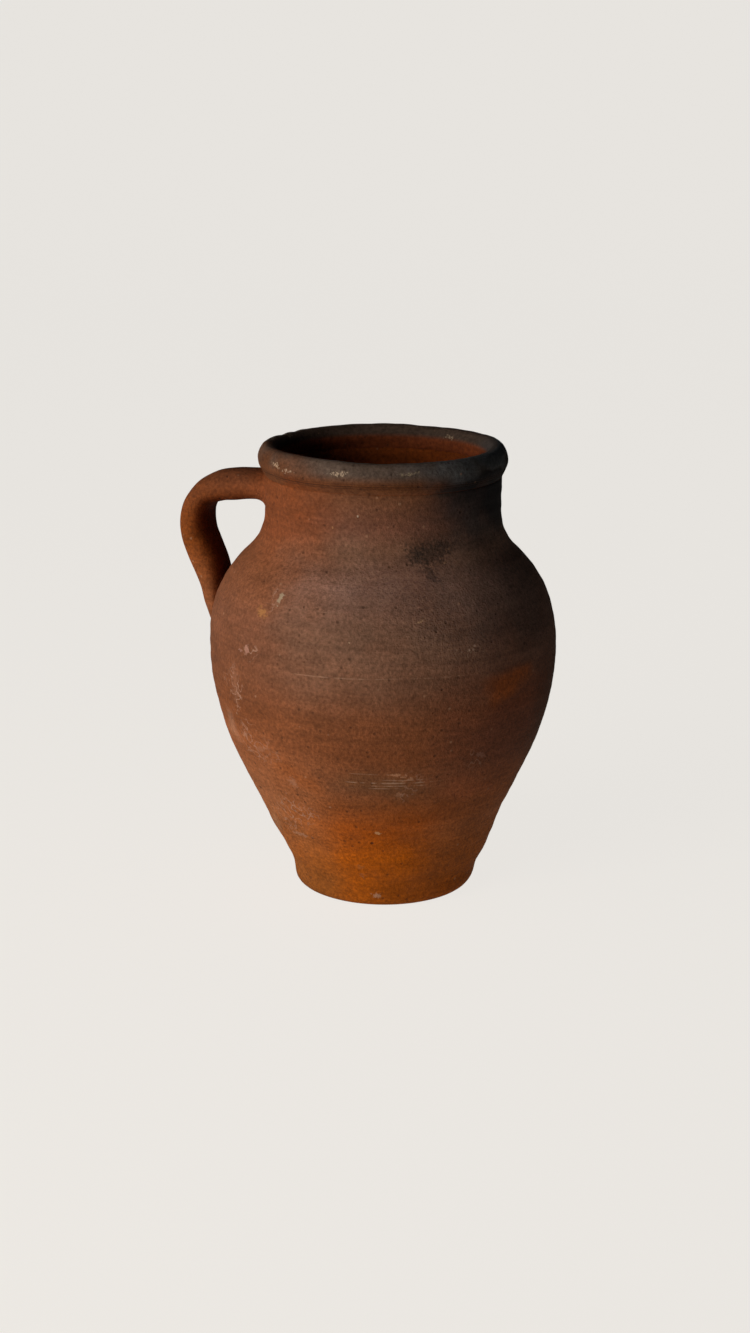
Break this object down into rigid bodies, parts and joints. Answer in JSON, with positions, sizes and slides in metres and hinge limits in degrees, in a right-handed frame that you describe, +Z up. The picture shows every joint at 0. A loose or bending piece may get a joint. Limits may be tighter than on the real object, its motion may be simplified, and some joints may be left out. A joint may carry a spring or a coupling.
{
  "type": "one-handled earthenware jug",
  "caption": "Round-bellied unglazed earthenware jug with a short wide neck, a rolled rim, one strap handle and a small flat foot, open at the mouth.",
  "frame": {"origin": "centre of the flat underside of the foot, on the surface that the jug stands on", "axes": "+Z up along the wheel axis, the handle stands out at -X, and the XZ plane is the plane of symmetry"},
  "size_m": [0.2304, 0.2074, 0.27],
  "materials": {
    "thrown_body": "matte",
    "rim_roll": "matte",
    "strap_handle": "matte",
    "upper_handle_weld": "matte",
    "lower_handle_weld": "matte"
  },
  "bodies": {
    "root": {"thrown_body": "thrown_body", "rim_roll": "rim_roll", "strap_handle": "strap_handle", "upper_handle_weld": "upper_handle_weld", "lower_handle_weld": "lower_handle_weld"}
  },
  "joints": []
}
